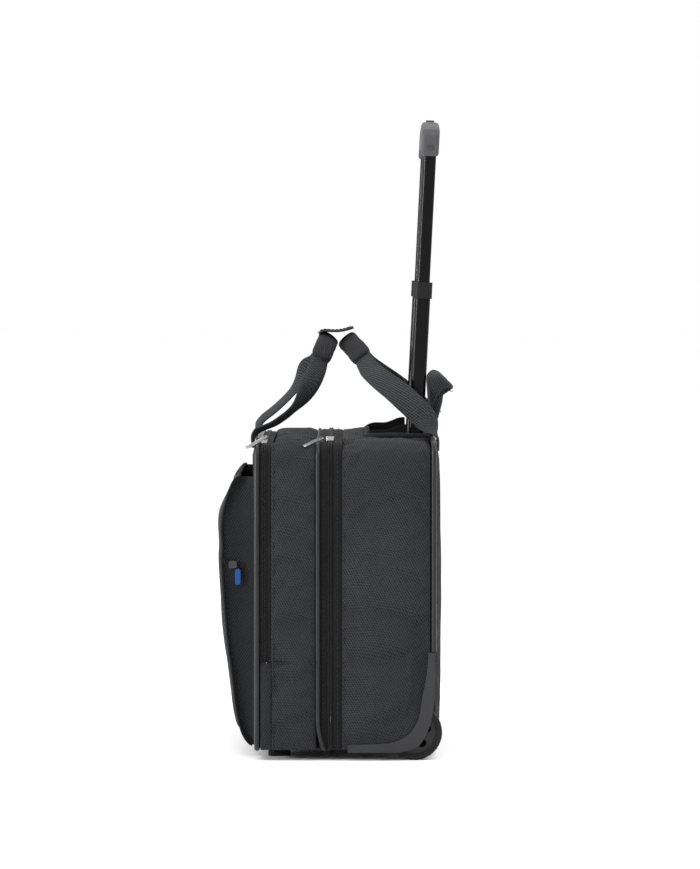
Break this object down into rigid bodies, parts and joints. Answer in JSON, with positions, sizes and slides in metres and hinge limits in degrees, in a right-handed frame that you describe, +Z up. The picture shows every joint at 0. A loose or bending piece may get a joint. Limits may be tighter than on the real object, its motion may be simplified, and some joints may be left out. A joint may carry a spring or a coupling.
{
  "type": "rolling laptop case",
  "caption": "Padded fabric case on wheels with a telescopic handle, a zipped clamshell, a front compartment, a slip pocket and paired carry handles.",
  "frame": {"origin": "on the floor, below the middle of the overall length and width", "axes": "+X towards the back of the case, where the trolley handle and wheels are; +Y across the width; +Z up"},
  "size_m": [0.2545, 0.443, 0.6948],
  "materials": {
    "case_fabric": "matte twill",
    "lining_fabric": "matte plain weave",
    "piping": "semi-gloss cord",
    "zip_tape": "matte tape",
    "webbing": "coarse woven",
    "tube_metal": "satin black",
    "grip_plastic": "soft-touch",
    "guard_plastic": "moulded, fine grain",
    "cup_plastic": "moulded",
    "tyre": "matte rubber",
    "hub": "moulded",
    "steel": "brushed",
    "pull_metal": "bright plated",
    "tag": "soft moulded",
    "foot_rubber": "matte"
  },
  "bodies": {
    "case": {"rear_side_left": "case_fabric", "rear_side_right": "case_fabric", "back_panel": "case_fabric", "back_piping": "piping", "rear_top_panel": "case_fabric", "rear_bottom_panel": "case_fabric", "rear_zip_band": "zip_tape", "rear_lining": "lining_fabric", "laptop_sleeve": "lining_fabric", "recess_cup": "cup_plastic", "recess_lip": "case_fabric", "fixed_tubes": "tube_metal", "tube_base": "cup_plastic", "axles": "steel", "wheel_housings": "cup_plastic", "corner_guard_left": "guard_plastic", "corner_guard_right": "guard_plastic", "rear_anchors": "webbing"},
    "front_half": {"front_side_left": "case_fabric", "front_side_right": "case_fabric", "feet": "foot_rubber", "front_top_panel": "case_fabric", "front_bottom_panel": "case_fabric", "front_zip_band": "zip_tape", "middle_piping": "piping", "lid_tape_rear": "zip_tape", "inner_divider": "lining_fabric"},
    "front_lid": {"front_panel": "case_fabric", "front_piping": "piping", "lid_tape_front": "zip_tape", "pocket_front": "case_fabric", "pocket_gussets": "case_fabric", "pocket_zip": "zip_tape", "front_anchors": "webbing"},
    "front_handle": {"front_webbing": "webbing", "front_sleeve": "case_fabric", "handle_tab": "case_fabric"},
    "rear_handle": {"rear_webbing": "webbing", "rear_sleeve": "case_fabric"},
    "top_flap": {"top_flap": "case_fabric"},
    "outer_stage": {"outer_tubes": "tube_metal", "outer_collars": "grip_plastic"},
    "inner_stage": {"inner_tubes": "tube_metal", "grip_shell": "grip_plastic", "grip_screws": "steel"},
    "release_button": {"release_button": "grip_plastic"},
    "wheel_left": {"tyre_left": "tyre", "hub_left": "hub"},
    "wheel_right": {"tyre_right": "tyre", "hub_right": "hub"},
    "main_slider_1": {"main_slider_1": "pull_metal"},
    "main_slider_2": {"main_slider_2": "pull_metal"},
    "lid_slider_1": {"lid_slider_1": "pull_metal"},
    "lid_slider_2": {"lid_slider_2": "pull_metal"},
    "main_pull_1": {"main_pull_1": "pull_metal"},
    "main_pull_2": {"main_pull_2": "pull_metal"},
    "lid_pull_1": {"lid_pull_1": "pull_metal"},
    "lid_pull_2": {"lid_pull_2": "pull_metal"},
    "pocket_slider": {"pocket_slider": "pull_metal"},
    "pocket_tag": {"pocket_tag": "tag"}
  },
  "joints": [
    {"name": "front_half_hinge", "type": "hinge", "parent": "case", "child": "front_half", "pos_m": [-0.0065, 0, 0.011], "axis": [0, -1, 0], "range_deg": [0, 90]},
    {"name": "front_lid_hinge", "type": "hinge", "parent": "front_half", "child": "front_lid", "pos_m": [-0.085, 0, 0.013], "axis": [0, -1, 0], "range_deg": [0, 18]},
    {"name": "front_handle_hinge", "type": "hinge", "parent": "front_lid", "child": "front_handle", "pos_m": [-0.091, 0, 0.335], "axis": [0, -1, 0], "range_deg": [0, 115]},
    {"name": "rear_handle_hinge", "type": "hinge", "parent": "case", "child": "rear_handle", "pos_m": [0.111, 0, 0.334], "axis": [0, 1, 0], "range_deg": [0, 10]},
    {"name": "top_flap_hinge", "type": "hinge", "parent": "case", "child": "top_flap", "pos_m": [0.108, 0, 0.346], "axis": [0, 1, 0], "range_deg": [0, 110]},
    {"name": "outer_stage_slide", "type": "slide", "parent": "case", "child": "outer_stage", "axis": [0.0506, 0, 0.9987], "range_m": [-0.198, 0.035]},
    {"name": "inner_stage_slide", "type": "slide", "parent": "outer_stage", "child": "inner_stage", "axis": [0.0506, 0, 0.9987], "range_m": [-0.136, 0.099]},
    {"name": "release_button_slide", "type": "slide", "parent": "inner_stage", "child": "release_button", "axis": [-0.0506, 0, -0.9987], "range_m": [0, 0.003], "stiffness_N_per_m": 300, "springref_m": -0.002},
    {"name": "wheel_left_spin", "type": "hinge", "parent": "case", "child": "wheel_left", "pos_m": [0.0845, -0.201, 0.03], "axis": [0, 1, 0], "continuous": true},
    {"name": "wheel_right_spin", "type": "hinge", "parent": "case", "child": "wheel_right", "pos_m": [0.0845, 0.201, 0.03], "axis": [0, 1, 0], "continuous": true},
    {"name": "main_slider_1_run", "type": "slide", "parent": "case", "child": "main_slider_1", "axis": [0, 1, 0], "range_m": [-0.004, 0]},
    {"name": "main_slider_2_run", "type": "slide", "parent": "case", "child": "main_slider_2", "axis": [0, 1, 0], "range_m": [0, 0.35]},
    {"name": "lid_slider_1_run", "type": "slide", "parent": "front_lid", "child": "lid_slider_1", "axis": [0, 1, 0], "range_m": [-0.004, 0]},
    {"name": "lid_slider_2_run", "type": "slide", "parent": "front_lid", "child": "lid_slider_2", "axis": [0, 1, 0], "range_m": [0, 0.35]},
    {"name": "pocket_slider_run", "type": "slide", "parent": "front_lid", "child": "pocket_slider", "axis": [-1, 0, 0], "range_m": [0, 0.006]},
    {"name": "main_pull_1_swing", "type": "hinge", "parent": "main_slider_1", "child": "main_pull_1", "pos_m": [-0.014, -0.2, 0.3484], "axis": [-0.6691, 0.7431, 0], "range_deg": [0, 90]},
    {"name": "main_pull_2_swing", "type": "hinge", "parent": "main_slider_2", "child": "main_pull_2", "pos_m": [-0.0065, -0.166, 0.3464], "axis": [1, 0, 0], "range_deg": [0, 90]},
    {"name": "lid_pull_2_swing", "type": "hinge", "parent": "lid_slider_2", "child": "lid_pull_2", "pos_m": [-0.078, -0.166, 0.3434], "axis": [1, 0, 0], "range_deg": [0, 90]},
    {"name": "lid_pull_1_swing", "type": "hinge", "parent": "lid_slider_1", "child": "lid_pull_1", "pos_m": [-0.075, -0.201, 0.3498], "axis": [-0.6428, 0.766, 0], "range_deg": [0, 90]},
    {"name": "pocket_tag_swing", "type": "hinge", "parent": "pocket_slider", "child": "pocket_tag", "pos_m": [-0.107, -0.1678, 0.204], "axis": [-1, 0, 0], "range_deg": [0, 90]}
  ]
}
